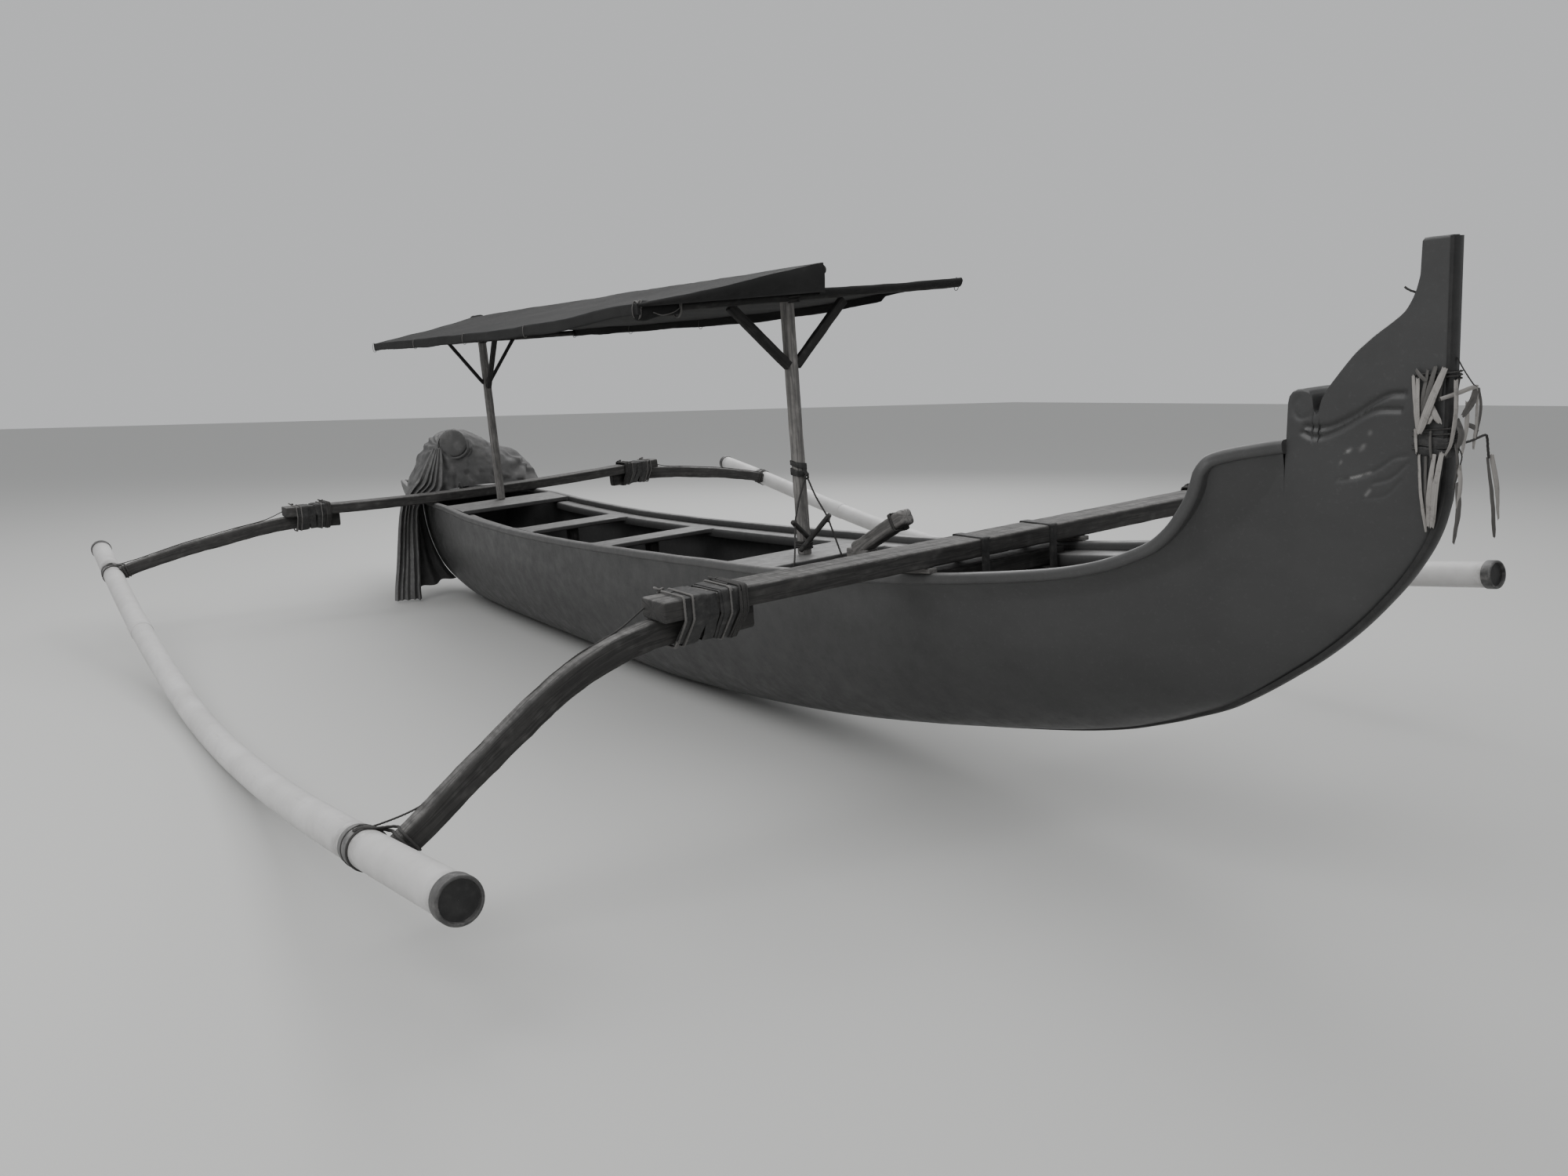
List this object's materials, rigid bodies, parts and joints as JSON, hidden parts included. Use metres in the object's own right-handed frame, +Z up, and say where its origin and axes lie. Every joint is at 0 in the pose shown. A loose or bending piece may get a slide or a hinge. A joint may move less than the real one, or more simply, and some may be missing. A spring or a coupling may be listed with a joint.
{
  "type": "outrigger canoe",
  "caption": "Double-ended outrigger canoe with carved bow, two pipe floats on timber beams, a cloth canopy and a covered long-shaft motor.",
  "frame": {"origin": "on the ground under the middle of the bounding box of the boat at rest on its keel and starboard float", "axes": "+X to the bow, +Y to port, +Z up; the boat lies over to starboard by 4.19 degrees, as it rests"},
  "size_m": [9.24, 5.0548, 2.0499],
  "materials": {
    "hull_laminate": "satin moulded laminate, scuffed",
    "worn_laminate": "worn moulded laminate",
    "dark_trim": "dark matt plastic",
    "float_pipe": "pale plastic pipe, weathered",
    "dark_timber": "dark weathered timber",
    "worn_timber": "pale weathered timber",
    "post_timber": "weathered timber",
    "strap": "rubber strip and cord",
    "canopy_canvas": "dark coated canvas",
    "cover_cloth": "faded woven cover",
    "iron": "painted iron, dull",
    "bronze": "dull cast bronze"
  },
  "bodies": {
    "boat": {"hull_bay_aft": "hull_laminate", "hull_bay_middle": "hull_laminate", "hull_bay_forward": "hull_laminate", "hull_bow": "hull_laminate", "hull_stern": "hull_laminate", "thwart_1_stern": "worn_laminate", "thwart_2": "worn_laminate", "thwart_3": "worn_laminate", "thwart_4_mast": "worn_laminate", "thwart_5_bow": "worn_laminate", "floor_boards": "worn_timber", "stanchion_2": "dark_timber", "stanchion_3": "dark_timber", "cross_plank": "dark_timber", "beam_band_1": "strap", "beam_band_2": "strap", "mooring_bitt": "worn_timber", "post_front": "post_timber", "post_rear": "post_timber", "ridge_brace": "dark_timber", "canopy_bar_front": "dark_timber", "canopy_bar_rear": "dark_timber", "ridge_pole": "dark_timber", "canopy_cloth": "canopy_canvas", "motor_cover": "cover_cloth", "motor_socket": "iron", "gunwale_port": "worn_laminate", "ledge_port": "worn_laminate", "float_port": "float_pipe", "beam_chock_port": "worn_timber", "knee_front_port": "dark_timber", "beam_lashing_front_port": "strap", "float_lashing_front_port": "strap", "float_cap_front_port": "dark_trim", "strut_front_port": "dark_timber", "knee_rear_port": "dark_timber", "beam_lashing_rear_port": "strap", "float_lashing_rear_port": "strap", "float_cap_rear_port": "dark_trim", "strut_rear_port": "dark_timber", "gunwale_starboard": "worn_laminate", "ledge_starboard": "worn_laminate", "float_starboard": "float_pipe", "beam_chock_starboard": "worn_timber", "knee_front_starboard": "dark_timber", "beam_lashing_front_starboard": "strap", "float_lashing_front_starboard": "strap", "float_cap_front_starboard": "dark_trim", "strut_front_starboard": "dark_timber", "knee_rear_starboard": "dark_timber", "beam_lashing_rear_starboard": "strap", "float_lashing_rear_starboard": "strap", "float_cap_rear_starboard": "dark_trim", "strut_rear_starboard": "dark_timber", "beam_front": "dark_timber", "beam_rear": "dark_timber"},
    "motor": {"motor_yoke": "iron", "engine": "iron", "shaft_tube": "iron"},
    "propeller": {"propeller": "bronze"}
  },
  "joints": [
    {"name": "motor_steer", "type": "hinge", "parent": "boat", "child": "motor", "pos_m": [-2.955, -0.01706, 0.84972], "axis": [0, -0.0731, 0.9973], "range_deg": [-35, 35]},
    {"name": "propeller_spin", "type": "hinge", "parent": "motor", "child": "propeller", "pos_m": [-3.935, -0.02028, 0.8937], "axis": [1, 0, 0], "continuous": true}
  ]
}
